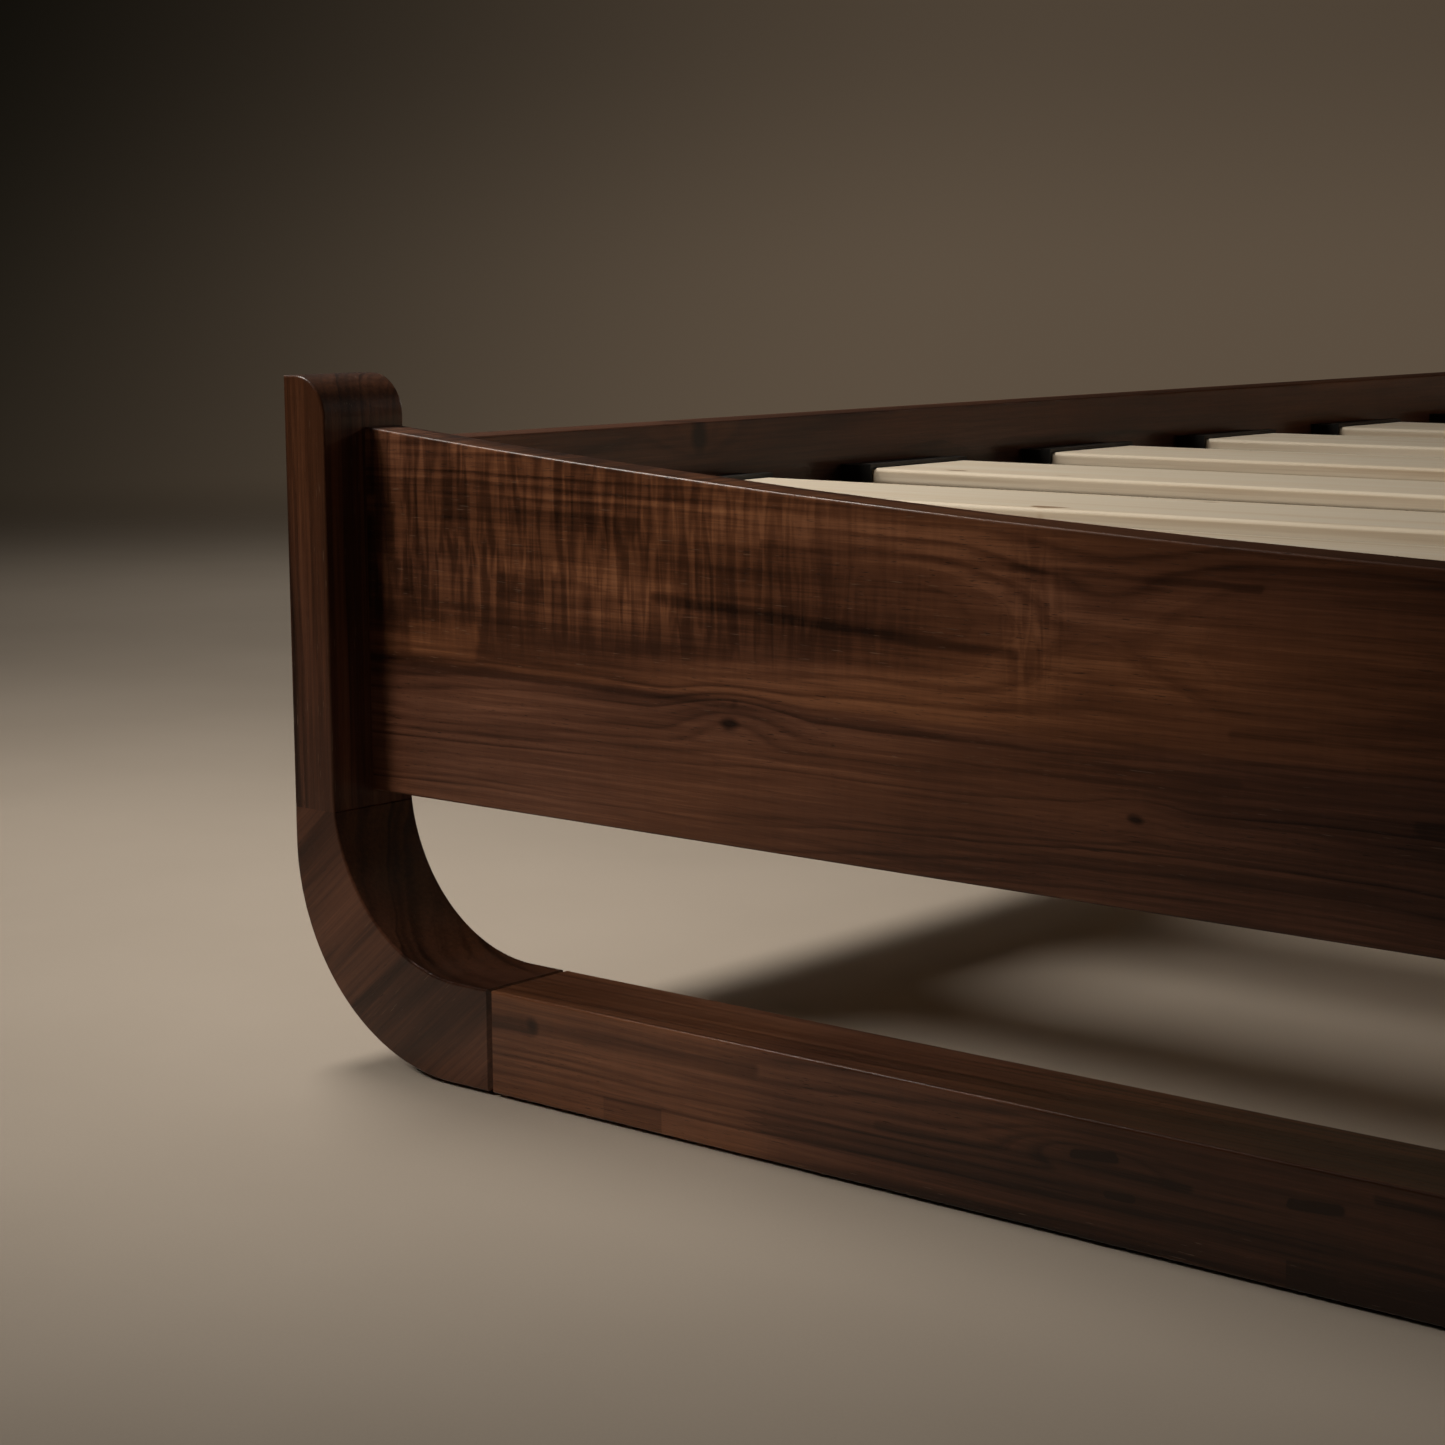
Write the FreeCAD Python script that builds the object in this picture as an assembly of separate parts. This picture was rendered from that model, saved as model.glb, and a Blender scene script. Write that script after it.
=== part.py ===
"""Queen-size sleigh bed: two sled end frames, side rails and a slatted base.

+X runs across the bed to the sleeper's right as seen from the foot, +Y from the foot
to the head and +Z up. The origin is on the floor under the middle of the bed.
All sizes are in millimetres.
"""
import FreeCAD, Part
import math
import os

# ---------------------------------------------------------------- driving sizes
# Mattress well
MATTRESS_WIDTH = 1524.0
MATTRESS_LENGTH = 2032.0
MATTRESS_ROOM = 19.0          # free room on every side of the mattress

# Sled end frames
POST_THICKNESS = 28.0
SLED_DEPTH = 52.0
FOOT_POST_HEIGHT = 333.0
HEAD_POST_HEIGHT = 900.0
POST_TOP_RADIUS = 20.0
PAD_THICKNESS = 2.0
RUNNER_HEIGHT = 49.0
BEND_OUTER_RADIUS = 105.0
BEND_INNER_RADIUS = 83.0
BEND_JOINT_HEIGHT = 123.0     # floor to the joint with the post
BEND_JOINT_REACH = 132.0      # outer face to the joint with the runner
GROOVE_DEPTH = 1.8            # V-groove round the joint with the runner
SEAM_DEPTH = 0.5              # fine seam at the joint with the post
EDGE_RADIUS = 1.2

# Rails and headboard
RAIL_THICKNESS = 23.0
RAIL_SETBACK = 26.5
RAIL_BOTTOM = 130.5
FOOT_RAIL_END_TOP = 308.0
FOOT_RAIL_HOLLOW = 37.0       # how far the top edge dips at mid-width
HEAD_RAIL_TOP = 308.0
HEADBOARD_TOP = 860.0
HEADBOARD_BOARD_COUNT = 3
SIDE_RAIL_THICKNESS = POST_THICKNESS      # flush with the posts on both faces
SIDE_RAIL_TOP = 300.0

# Slatted base
SLAT_TOP = 269.0
SLAT_THICKNESS = 9.0
SLAT_WIDTH = 90.0
SLAT_CORNER_RADIUS = 2.5
INNER_SLAT_COUNT = 10
END_SLAT_GAP = 12.0           # end rail to the nearest slat edge
END_SLAT_PITCH = 155.0        # end slat to its neighbour, centre to centre
HOLDER_LENGTH = 22.0
HOLDER_WALL = 1.5
HOLDER_FLOOR = 3.0
HOLDER_RIM_LENGTH = 7.0
HOLDER_RIM_PROUD = 0.8
HOLDER_PEG_RADIUS = 4.0
HOLDER_PEG_LENGTH = 12.0
SLAT_END_ROOM = 3.0           # slat end to the blind end of its holder
SLAT_REBATE = 0.6             # planed off the top of a slat's ends, to fit the holders
LEDGER_WIDTH = 24.0
LEDGER_HEIGHT = 30.0

# Centre support
BEAM_WIDTH = 45.0
BEAM_HEIGHT = 60.0
LEG_WIDTH = 45.0
LEG_SPACING = 690.0
LEG_BOTTOM = 20.0
FOOT_PAD_RADIUS = 17.5
FOOT_PAD_HEIGHT = 8.0
FOOT_STUD_RADIUS = 4.0
FOOT_STUD_LENGTH = 42.0
INSERT_RADIUS = 6.5
INSERT_LENGTH = 15.0
STUD_ROOM = 14.0              # hollow above the stud, so that the foot can screw in

# Hardware and joinery
STEEL_THICKNESS = 2.5
STIRRUP_DEPTH = 40.0
STIRRUP_PLATE_WIDTH = 95.0
BRACKET_LEG = 42.0
BRACKET_HEIGHT = 76.0
BRACKET_BEND_RADIUS = 2.0
BRACKET_BOLT_SPACING = 44.0
BRACKET_BOLT_REACH = 28.0     # inside corner to the bolts
BOLT_RADIUS = 3.0
BOLT_LENGTH = 14.0
BOLT_HEAD_RADIUS = 5.5
BOLT_HEAD_HEIGHT = 3.3
BOLT_HEAD_ROUND = 1.6
RAIL_INSERT_RADIUS = 4.5
RAIL_INSERT_LENGTH = 13.0
SCREW_RADIUS = 2.0
SCREW_HEAD_RADIUS = 4.0
SCREW_HEAD_DEPTH = 2.0
LEDGER_SCREW_LENGTH = 38.0
LEDGER_SCREW_COUNT = 8
POST_DOWEL_RADIUS = 4.0
RUNNER_DOWEL_RADIUS = 5.0
DOWEL_LENGTH = 50.0
DOWEL_EDGE = 14.0             # dowel centre to the nearest face of the frame
DOWEL_WALL = 3.0              # wood between a post's dowels and its lowest mortise
LEG_DOWEL_RADIUS = 4.0
LEG_DOWEL_LENGTH = 60.0
TENON_THICKNESS = 10.0
TENON_LENGTH = 16.0
TENON_SHOULDER = 18.0         # board edge to the nearest tenon
SPLINE_THICKNESS = 6.0
SPLINE_WIDTH = 20.0
SPLINE_END_GAP = 30.0
PAD_LENGTH = 60.0
PAD_INSET = 8.0

# Clearances
FIT_GAP = 0.15                # wood joint, each face
HOLE_GAP = 0.1                # drilled hole, on the radius
HARDWARE_GAP = 0.3            # round bolts and studs, on the radius
DEPTH_ROOM = 1.0              # blind end of a hole, mortise or groove

# ---------------------------------------------------------------- derived places
INNER_X = MATTRESS_WIDTH / 2 + MATTRESS_ROOM
OUTER_X = INNER_X + POST_THICKNESS
RAIL_INNER_Y = MATTRESS_LENGTH / 2 + MATTRESS_ROOM
RAIL_OUTER_Y = RAIL_INNER_Y + RAIL_THICKNESS
END_Y = RAIL_OUTER_Y + RAIL_SETBACK
POST_INNER_Y = END_Y - SLED_DEPTH
RUNNER_TOP = PAD_THICKNESS + RUNNER_HEIGHT
RUNNER_END_X = OUTER_X - BEND_JOINT_REACH
SIDE_RAIL_INNER_X = OUTER_X - SIDE_RAIL_THICKNESS
SLAT_BOTTOM = SLAT_TOP - SLAT_THICKNESS
LEDGER_TOP = SLAT_BOTTOM - HOLDER_FLOOR
LEDGER_END_Y = min(POST_INNER_Y, RAIL_INNER_Y)
BEAM_BOTTOM = SLAT_BOTTOM - BEAM_HEIGHT
POST_MIDDLE_X = OUTER_X - POST_THICKNESS / 2
SLACK = 1.0                   # how far a cutter runs past a face

pieces = {}


# ---------------------------------------------------------------- shape helpers
def block(x_low, x_high, y_low, y_high, z_low, z_high):
    """A box between two corners."""
    corner = FreeCAD.Vector(x_low, y_low, z_low)
    return Part.makeBox(x_high - x_low, y_high - y_low, z_high - z_low, corner)


def rod(x, y, z, axis, radius, length):
    """A cylinder that starts at a point and runs along an axis."""
    return Part.makeCylinder(radius, length, FreeCAD.Vector(x, y, z), FreeCAD.Vector(*axis))


def prism(points, run):
    """A straight solid: an outline of points, moved along a vector."""
    corners = [FreeCAD.Vector(*point) for point in points]
    outline = Part.makePolygon(corners + corners[:1])
    return Part.Face(outline).extrude(FreeCAD.Vector(*run))


def flip_x(shape):
    """The same shape on the other side of the bed."""
    return shape.mirror(FreeCAD.Vector(0, 0, 0), FreeCAD.Vector(1, 0, 0))


def flip_y(shape):
    """The same shape at the other end of the bed."""
    return shape.mirror(FreeCAD.Vector(0, 0, 0), FreeCAD.Vector(0, 1, 0))


def at_four_corners(shape):
    """A foot-left shape and its copies at the other three corners."""
    left = [shape, flip_y(shape)]
    return left + [flip_x(one) for one in left]


def cut_all(solid, cutters):
    """A solid less all the cutters, as one solid."""
    return solid.cut(Part.makeCompound(cutters)).Solids[0]


def ease_edges(solid, radius, wanted):
    """Round the edges for which wanted(edge) is true."""
    edges = [edge for edge in solid.Edges if wanted(edge)]
    return solid.makeFillet(radius, edges)


def along(axis_index):
    """A test for straight edges that run along one axis."""
    def test(edge):
        if not isinstance(edge.Curve, Part.Line):
            return False
        return abs(abs(edge.Curve.Direction[axis_index]) - 1) < 1e-6
    return test


def countersunk_screw(x, y, z, axis, length):
    """A screw whose flat head is flush at the point and whose shank runs along the axis."""
    start = FreeCAD.Vector(x, y, z)
    direction = FreeCAD.Vector(*axis)
    head = Part.makeCone(SCREW_HEAD_RADIUS, SCREW_RADIUS, SCREW_HEAD_DEPTH, start, direction)
    shank = Part.makeCylinder(SCREW_RADIUS, length, start, direction)
    return head.fuse(shank).removeSplitter().Solids[0]


def screw_hole(x, y, z, axis, length):
    """The hole for that screw, with its countersink."""
    start = FreeCAD.Vector(x, y, z)
    direction = FreeCAD.Vector(*axis)
    sink = Part.makeCone(SCREW_HEAD_RADIUS + HOLE_GAP, SCREW_RADIUS + HOLE_GAP,
                         SCREW_HEAD_DEPTH + HOLE_GAP, start, direction)
    bore = Part.makeCylinder(SCREW_RADIUS + HOLE_GAP, length + DEPTH_ROOM, start, direction)
    return sink.fuse(bore)


def rough_board(z_low, z_high, hollow=0.0):
    """A board between the posts, cut a little long; a hollow is the dip of its top edge."""
    reach = INNER_X + SLACK
    if not hollow:
        return block(-reach, reach, -RAIL_OUTER_Y, -RAIL_INNER_Y, z_low, z_high)
    low_left = FreeCAD.Vector(-reach, -RAIL_OUTER_Y, z_low)
    low_right = FreeCAD.Vector(reach, -RAIL_OUTER_Y, z_low)
    top_left = FreeCAD.Vector(-reach, -RAIL_OUTER_Y, z_high)
    top_right = FreeCAD.Vector(reach, -RAIL_OUTER_Y, z_high)
    dip = FreeCAD.Vector(0, -RAIL_OUTER_Y, z_high - hollow)
    edges = [
        Part.makeLine(low_left, low_right),
        Part.makeLine(low_right, top_right),
        Part.Arc(top_right, dip, top_left).toBSpline().toShape(),
        Part.makeLine(top_left, low_left),
    ]
    return Part.Face(Part.Wire(edges)).extrude(FreeCAD.Vector(0, RAIL_THICKNESS, 0))


def tenon_spans(z_low, z_high, count):
    """Heights of the tenons on one end of a board: equal tenons, evenly spaced."""
    room = z_high - z_low - 2 * TENON_SHOULDER
    height = room / (2 * count - 1)
    spans = []
    for index in range(count):
        start = z_low + TENON_SHOULDER + 2 * index * height
        spans.append((start, start + height))
    return spans


# ---------------------------------------------------------------- sled end frames
def sled_solid(post_height):
    """The whole end frame at the foot as one body: posts, bends and runner."""
    low = PAD_THICKNESS
    outer = OUTER_X
    outer_bend = BEND_OUTER_RADIUS
    inner_bend = BEND_INNER_RADIUS
    diagonal = math.sqrt(0.5)
    y = -END_Y

    def point(x, z):
        return FreeCAD.Vector(x, y, z)

    edges = []
    for side in (-1, 1):
        edges.append(Part.Arc(
            point(side * outer, low + outer_bend),
            point(side * (outer - outer_bend * (1 - diagonal)), low + outer_bend * (1 - diagonal)),
            point(side * (outer - outer_bend), low)).toShape())
        edges.append(Part.makeLine(
            point(side * outer, low + outer_bend), point(side * outer, post_height)))
        edges.append(Part.makeLine(
            point(side * outer, post_height),
            point(side * (INNER_X + POST_TOP_RADIUS), post_height)))
        edges.append(Part.Arc(
            point(side * (INNER_X + POST_TOP_RADIUS), post_height),
            point(side * (INNER_X + POST_TOP_RADIUS * (1 - diagonal)),
                  post_height - POST_TOP_RADIUS * (1 - diagonal)),
            point(side * INNER_X, post_height - POST_TOP_RADIUS)).toShape())
        edges.append(Part.makeLine(
            point(side * INNER_X, post_height - POST_TOP_RADIUS),
            point(side * INNER_X, RUNNER_TOP + inner_bend)))
        edges.append(Part.Arc(
            point(side * INNER_X, RUNNER_TOP + inner_bend),
            point(side * (INNER_X - inner_bend * (1 - diagonal)),
                  RUNNER_TOP + inner_bend * (1 - diagonal)),
            point(side * (INNER_X - inner_bend), RUNNER_TOP)).toShape())
    edges.append(Part.makeLine(
        point(-(outer - outer_bend), low), point(outer - outer_bend, low)))
    edges.append(Part.makeLine(
        point(-(INNER_X - inner_bend), RUNNER_TOP), point(INNER_X - inner_bend, RUNNER_TOP)))
    outline = Part.Wire(Part.__sortEdges__(edges))
    body = Part.Face(outline).extrude(FreeCAD.Vector(0, SLED_DEPTH, 0))

    def on_front_or_back(edge):
        box = edge.BoundBox
        flat = box.YLength < 1e-6
        return flat and min(abs(box.YMin + END_Y), abs(box.YMin + POST_INNER_Y)) < 1e-6

    return ease_edges(body, EDGE_RADIUS, on_front_or_back)


def runner_grooves():
    """V-shaped cutters round both joints between the bends and the runner."""
    grooves = []
    half = GROOVE_DEPTH + SLACK
    for joint_x in (-RUNNER_END_X, RUNNER_END_X):
        for z, inward in ((RUNNER_TOP, -1), (PAD_THICKNESS, 1)):
            grooves.append(prism(
                [(joint_x - half, -END_Y - SLACK, z - inward * SLACK),
                 (joint_x + half, -END_Y - SLACK, z - inward * SLACK),
                 (joint_x, -END_Y - SLACK, z + inward * GROOVE_DEPTH)],
                (0, SLED_DEPTH + 2 * SLACK, 0)))
        for y, inward in ((-END_Y, 1), (-POST_INNER_Y, -1)):
            grooves.append(prism(
                [(joint_x - half, y - inward * SLACK, PAD_THICKNESS - SLACK),
                 (joint_x + half, y - inward * SLACK, PAD_THICKNESS - SLACK),
                 (joint_x, y + inward * GROOVE_DEPTH, PAD_THICKNESS - SLACK)],
                (0, 0, RUNNER_HEIGHT + 2 * SLACK)))
    return grooves


def post_seams():
    """Fine V-shaped cutters across the inner faces where the posts meet the bends."""
    rise = RUNNER_TOP + BEND_INNER_RADIUS - BEND_JOINT_HEIGHT
    face_x = INNER_X
    if rise > 0:
        face_x -= BEND_INNER_RADIUS - math.sqrt(BEND_INNER_RADIUS ** 2 - rise ** 2)
    seams = []
    for side in (-1, 1):
        seams.append(prism(
            [(side * (face_x - SLACK), -END_Y - SLACK, BEND_JOINT_HEIGHT - SEAM_DEPTH - SLACK),
             (side * (face_x - SLACK), -END_Y - SLACK, BEND_JOINT_HEIGHT + SEAM_DEPTH + SLACK),
             (side * (face_x + SEAM_DEPTH), -END_Y - SLACK, BEND_JOINT_HEIGHT)],
            (0, SLED_DEPTH + 2 * SLACK, 0)))
    return seams


def sled_dowels(extra_radius=0.0, extra_length=0.0):
    """The eight dowels in the joints of the foot frame, or the holes for them."""
    dowels = []
    reach = DOWEL_LENGTH / 2 + extra_length
    lowest_mortise = RAIL_BOTTOM + TENON_SHOULDER
    rise = lowest_mortise - DOWEL_WALL - BEND_JOINT_HEIGHT + extra_length
    for y in (-END_Y + DOWEL_EDGE, -POST_INNER_Y - DOWEL_EDGE):
        for side in (-1, 1):
            dowels.append(rod(side * POST_MIDDLE_X, y, BEND_JOINT_HEIGHT - reach, (0, 0, 1),
                              POST_DOWEL_RADIUS + extra_radius, reach + rise))
            dowels.append(rod(side * RUNNER_END_X - reach, y, (PAD_THICKNESS + RUNNER_TOP) / 2,
                              (1, 0, 0), RUNNER_DOWEL_RADIUS + extra_radius, 2 * reach))
    return dowels


def board_tenons(z_low, z_high, count, gap=0.0, room=0.0):
    """Tenons on both ends of a foot board, or with a gap and room the mortises for them."""
    shapes = []
    y_middle = -RAIL_OUTER_Y + RAIL_THICKNESS / 2
    half = TENON_THICKNESS / 2 + gap
    for low, high in tenon_spans(z_low, z_high, count):
        tip = INNER_X + TENON_LENGTH + room
        for side in (-1, 1):
            ends = sorted((side * INNER_X, side * tip))
            shapes.append(block(ends[0], ends[1], y_middle - half, y_middle + half,
                                low - gap, high + gap))
    return shapes


def make_sled(post_height, boards):
    """Posts, bends, runner and dowels of the foot frame; boards are (low, high, tenons)."""
    body = sled_solid(post_height)
    cutters = runner_grooves() + post_seams() + sled_dowels(HOLE_GAP, DEPTH_ROOM)
    for z_low, z_high, count in boards:
        cutters += board_tenons(z_low, z_high, count, FIT_GAP, DEPTH_ROOM)
    for cutter in cutters:
        body = body.cut(cutter)
    wide = OUTER_X + SLACK
    y_low = -END_Y - SLACK
    y_high = -POST_INNER_Y + SLACK
    post_zone = block(-wide, -RUNNER_END_X, y_low, y_high, BEND_JOINT_HEIGHT, post_height + SLACK)
    bend_zone = block(-wide, -RUNNER_END_X, y_low, y_high, 0, BEND_JOINT_HEIGHT)
    runner_zone = block(-RUNNER_END_X, RUNNER_END_X, y_low, y_high, 0, RUNNER_TOP + SLACK)
    sled = {
        "post_left": body.common(post_zone).Solids[0],
        "post_right": body.common(flip_x(post_zone)).Solids[0],
        "bend_left": body.common(bend_zone).Solids[0],
        "bend_right": body.common(flip_x(bend_zone)).Solids[0],
        "runner": body.common(runner_zone).Solids[0],
        "sled_dowels": Part.makeCompound(sled_dowels()),
        "floor_pads": Part.makeCompound(floor_pads()),
    }
    return sled


def floor_pads():
    """Thin pads under the foot runner: two near the bends and one in the middle."""
    outer_x = RUNNER_END_X - PAD_LENGTH
    pads = []
    for x in (-outer_x, 0.0, outer_x):
        pads.append(block(x - PAD_LENGTH / 2, x + PAD_LENGTH / 2, -END_Y + PAD_INSET,
                          -POST_INNER_Y - PAD_INSET, 0, PAD_THICKNESS))
    return pads


# ---------------------------------------------------------------- corner brackets, foot left
def bracket_bolt_heights():
    """Heights of the two bolts in each leg of a corner bracket."""
    middle = (RAIL_BOTTOM + LEDGER_TOP - LEDGER_HEIGHT) / 2
    return (middle - BRACKET_BOLT_SPACING / 2, middle + BRACKET_BOLT_SPACING / 2)


def bracket_bolt_places():
    """Where each bolt goes into a rail's inner face: point and direction into the wood."""
    end_rail_x = -INNER_X + BRACKET_BOLT_REACH
    side_rail_y = -RAIL_INNER_Y + BRACKET_BOLT_REACH
    places = []
    for z in bracket_bolt_heights():
        places.append(((end_rail_x, -RAIL_INNER_Y, z), (0, -1, 0)))
        places.append(((-SIDE_RAIL_INNER_X, side_rail_y, z), (-1, 0, 0)))
    return places


def off_face(place, distance):
    """A bolt's place moved away from the rail along its own axis."""
    point, inward = place
    return [at - distance * step for at, step in zip(point, inward)]


def make_corner_bracket():
    """A steel angle in the corner between the end rail and the side rail."""
    heights = bracket_bolt_heights()
    margin = (BRACKET_HEIGHT - BRACKET_BOLT_SPACING) / 2
    low = heights[0] - margin
    high = heights[1] + margin
    x = -INNER_X
    y = -RAIL_INNER_Y
    end_leg = block(x, x + BRACKET_LEG, y, y + STEEL_THICKNESS, low, high)
    side_leg = block(x, x + STEEL_THICKNESS, y, y + BRACKET_LEG, low, high)
    angle = end_leg.fuse(side_leg).removeSplitter().Solids[0]
    angle = ease_edges(angle, BRACKET_BEND_RADIUS, inside_corner(x, y))
    holes = []
    for place in bracket_bolt_places():
        start = off_face(place, STEEL_THICKNESS + SLACK)
        holes.append(rod(*start, place[1], BOLT_RADIUS + HARDWARE_GAP,
                         STEEL_THICKNESS + 2 * SLACK))
    return cut_all(angle, holes)


def inside_corner(x, y):
    """A test for the upright edge inside a corner bracket's fold."""
    def test(edge):
        box = edge.BoundBox
        upright = box.XLength < 1e-6 and box.YLength < 1e-6
        x_off = abs(box.XMin - x - STEEL_THICKNESS)
        y_off = abs(box.YMin - y - STEEL_THICKNESS)
        return upright and max(x_off, y_off) < 1e-6
    return test


def bracket_bolts():
    """The four button-head bolts of one corner bracket."""
    bolts = []
    for place in bracket_bolt_places():
        under_head = off_face(place, STEEL_THICKNESS)
        top = off_face(place, STEEL_THICKNESS + BOLT_HEAD_HEIGHT)
        head = rod(*top, place[1], BOLT_HEAD_RADIUS, BOLT_HEAD_HEIGHT)
        head = ease_edges(head, BOLT_HEAD_ROUND, rim_at(top))
        socket_depth = BOLT_HEAD_HEIGHT * 0.6
        head = head.cut(rod(*top, place[1], BOLT_RADIUS * 0.6, socket_depth))
        shank = rod(*under_head, place[1], BOLT_RADIUS, BOLT_LENGTH)
        bolts.append(head.fuse(shank).removeSplitter().Solids[0])
    return bolts


def rim_at(centre):
    """A test for the circular edge round a point."""
    def test(edge):
        if not isinstance(edge.Curve, Part.Circle):
            return False
        return edge.Curve.Center.distanceToPoint(FreeCAD.Vector(*centre)) < 1e-6
    return test


def rail_inserts(extra_radius=0.0, extra_length=0.0, bored=True):
    """The threaded inserts that take the bolts, or the blind holes for them."""
    inserts = []
    for point, inward in bracket_bolt_places():
        shape = rod(*point, inward, RAIL_INSERT_RADIUS + extra_radius,
                    RAIL_INSERT_LENGTH + extra_length)
        if bored:
            shape = shape.cut(rod(*point, inward, BOLT_RADIUS + HOLE_GAP, RAIL_INSERT_LENGTH))
        inserts.append(shape)
    return inserts


def rail_insert_holes():
    """Blind holes in the rails for the inserts."""
    return rail_inserts(HOLE_GAP, DEPTH_ROOM, bored=False)


# ---------------------------------------------------------------- slatted base
def slat_places():
    """Y of every slat's centre, foot to head."""
    end_y = RAIL_INNER_Y - END_SLAT_GAP - SLAT_WIDTH / 2
    first_inner = end_y - END_SLAT_PITCH
    pitch = 2 * first_inner / (INNER_SLAT_COUNT - 1)
    inner = [-first_inner + index * pitch for index in range(INNER_SLAT_COUNT)]
    return [-end_y] + inner + [end_y]


def make_slat(y):
    """One slat across the bed: long edges rounded, ends planed thinner for the holders."""
    end_x = SIDE_RAIL_INNER_X - HOLDER_WALL - SLAT_END_ROOM
    low_y = y - SLAT_WIDTH / 2
    high_y = y + SLAT_WIDTH / 2
    slat = block(-end_x, end_x, low_y, high_y, SLAT_BOTTOM, SLAT_TOP)
    slat = ease_edges(slat, SLAT_CORNER_RADIUS, along(0))
    shoulder_x = SIDE_RAIL_INNER_X - HOLDER_LENGTH - SLACK
    rebate = block(shoulder_x, end_x + SLACK, low_y - SLACK, high_y + SLACK,
                   SLAT_TOP - SLAT_REBATE, SLAT_TOP + SLACK)
    return cut_all(slat, [rebate, flip_x(rebate)])


def make_holder(y):
    """A moulded pocket on the left ledger that takes a slat's end, with a peg below."""
    outer = -SIDE_RAIL_INNER_X
    mouth = outer + HOLDER_LENGTH
    half = SLAT_WIDTH / 2 + HOLDER_WALL
    body = block(outer, mouth, y - half, y + half, LEDGER_TOP, SLAT_TOP + HOLDER_WALL)
    rim = block(mouth - HOLDER_RIM_LENGTH, mouth, y - half - HOLDER_RIM_PROUD,
                y + half + HOLDER_RIM_PROUD, LEDGER_TOP, SLAT_TOP + HOLDER_WALL + HOLDER_RIM_PROUD)
    pocket = block(outer + HOLDER_WALL, mouth + SLACK, y - SLAT_WIDTH / 2 - FIT_GAP,
                   y + SLAT_WIDTH / 2 + FIT_GAP, SLAT_BOTTOM,
                   SLAT_TOP - SLAT_REBATE + FIT_GAP)
    peg = rod(outer + HOLDER_LENGTH / 2, y, LEDGER_TOP - HOLDER_PEG_LENGTH, (0, 0, 1),
              HOLDER_PEG_RADIUS, HOLDER_PEG_LENGTH)
    return body.fuse([rim, peg]).cut(pocket).removeSplitter().Solids[0]


def ledger_screw_places():
    """Y and height of the ledger's screws, kept between the slats."""
    places = slat_places()
    gaps = [(low + high) / 2 for low, high in zip(places[1:-1], places[2:-1])]
    step = (len(gaps) - 1) / (LEDGER_SCREW_COUNT - 1)
    chosen = [gaps[round(index * step)] for index in range(LEDGER_SCREW_COUNT)]
    return [(y, LEDGER_TOP - LEDGER_HEIGHT / 2) for y in chosen]


def make_ledger():
    """The left ledger: a strip along the side rail with a socket for every holder."""
    inner = -SIDE_RAIL_INNER_X
    ledger = block(inner, inner + LEDGER_WIDTH, -LEDGER_END_Y, LEDGER_END_Y,
                   LEDGER_TOP - LEDGER_HEIGHT, LEDGER_TOP)
    ledger = ease_edges(ledger, EDGE_RADIUS, along(1))
    cutters = []
    for y in slat_places():
        cutters.append(rod(inner + HOLDER_LENGTH / 2, y,
                           LEDGER_TOP - HOLDER_PEG_LENGTH - DEPTH_ROOM, (0, 0, 1),
                           HOLDER_PEG_RADIUS + HOLE_GAP, HOLDER_PEG_LENGTH + DEPTH_ROOM + SLACK))
    for y, z in ledger_screw_places():
        cutters.append(screw_hole(inner + LEDGER_WIDTH, y, z, (-1, 0, 0), LEDGER_SCREW_LENGTH))
    return cut_all(ledger, cutters)


def ledger_screws():
    """The screws that hold the left ledger to its side rail."""
    start = -SIDE_RAIL_INNER_X + LEDGER_WIDTH
    return [countersunk_screw(start, y, z, (-1, 0, 0), LEDGER_SCREW_LENGTH)
            for y, z in ledger_screw_places()]


def make_side_rail():
    """The left side rail, between the two left posts."""
    rail = block(-OUTER_X, -SIDE_RAIL_INNER_X, -POST_INNER_Y, POST_INNER_Y,
                 RAIL_BOTTOM, SIDE_RAIL_TOP)
    rail = ease_edges(rail, EDGE_RADIUS, along(1))
    into_side_rail = -SIDE_RAIL_INNER_X - SLACK
    holes = [hole for hole in rail_insert_holes() if hole.BoundBox.XMin < into_side_rail]
    cutters = holes + [flip_y(hole) for hole in holes]
    start = -SIDE_RAIL_INNER_X + LEDGER_WIDTH
    for y, z in ledger_screw_places():
        cutters.append(screw_hole(start, y, z, (-1, 0, 0), LEDGER_SCREW_LENGTH))
    return cut_all(rail, cutters)


# ---------------------------------------------------------------- centre support
def stirrup_screw_places():
    """X and height of the stirrup's four screws."""
    x = (STIRRUP_PLATE_WIDTH / 2 + BEAM_WIDTH / 2 + STEEL_THICKNESS) / 2
    reach = BEAM_HEIGHT / 2 - 3 * SCREW_HEAD_RADIUS
    middle = BEAM_BOTTOM + BEAM_HEIGHT / 2
    return [(side * x, middle + up * reach) for side in (-1, 1) for up in (-1, 1)]


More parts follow.
